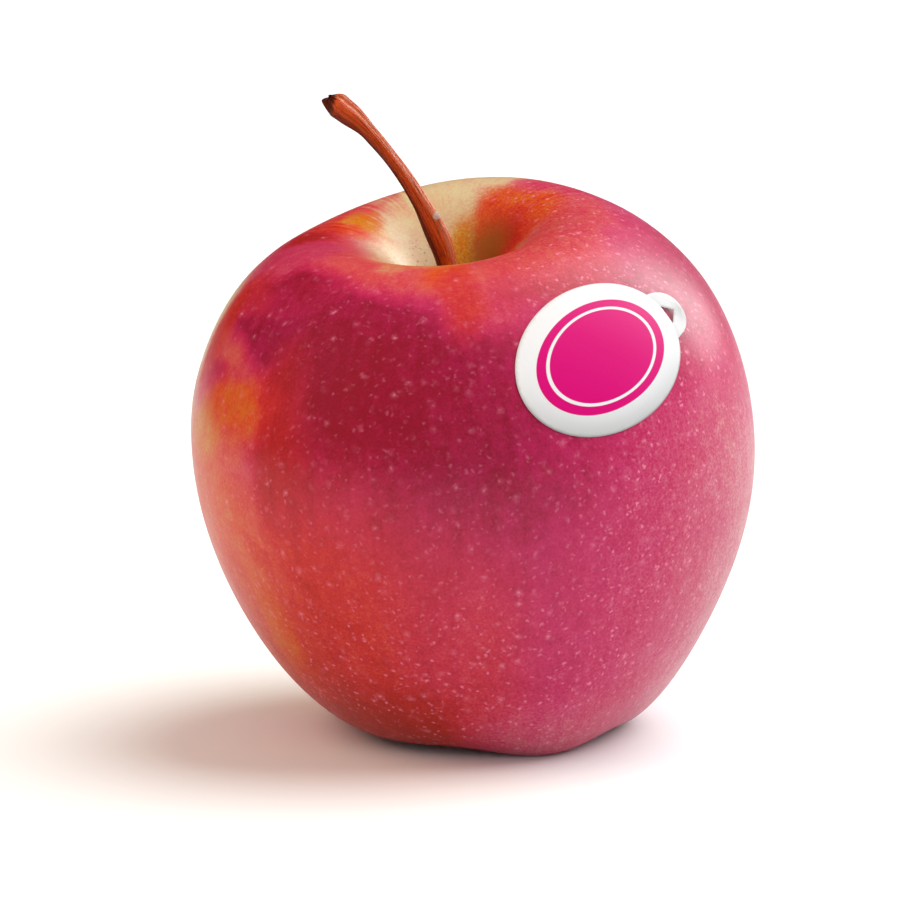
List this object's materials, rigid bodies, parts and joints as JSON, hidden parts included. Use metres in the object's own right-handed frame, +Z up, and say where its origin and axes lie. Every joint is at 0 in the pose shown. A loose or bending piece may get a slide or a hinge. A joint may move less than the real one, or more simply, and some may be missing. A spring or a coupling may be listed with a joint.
{
  "type": "cripps pink apple",
  "caption": "Whole ripe pink-red apple with a deep stem cavity, a curved woody stem, a dried calyx and a plain oval label, standing on the low lobes of its base.",
  "frame": {"origin": "on the surface the apple stands on, under the middle of its box", "axes": "+Z up along the core of the fruit, -Y to the front where the label is, the stem leans towards -X"},
  "size_m": [0.0749, 0.075, 0.0851],
  "materials": {
    "skin": "smooth waxy apple skin, crimson pink over yellow green, with pale dots",
    "bark": "red-brown ridged stem bark with a satin sheen",
    "dried_calyx": "dry, rough, brown sepals and stamens",
    "label_paper": "smooth white label with a plain magenta oval"
  },
  "bodies": {
    "root": {"fruit": "skin", "stem": "bark", "calyx": "dried_calyx", "label": "label_paper"}
  },
  "joints": []
}
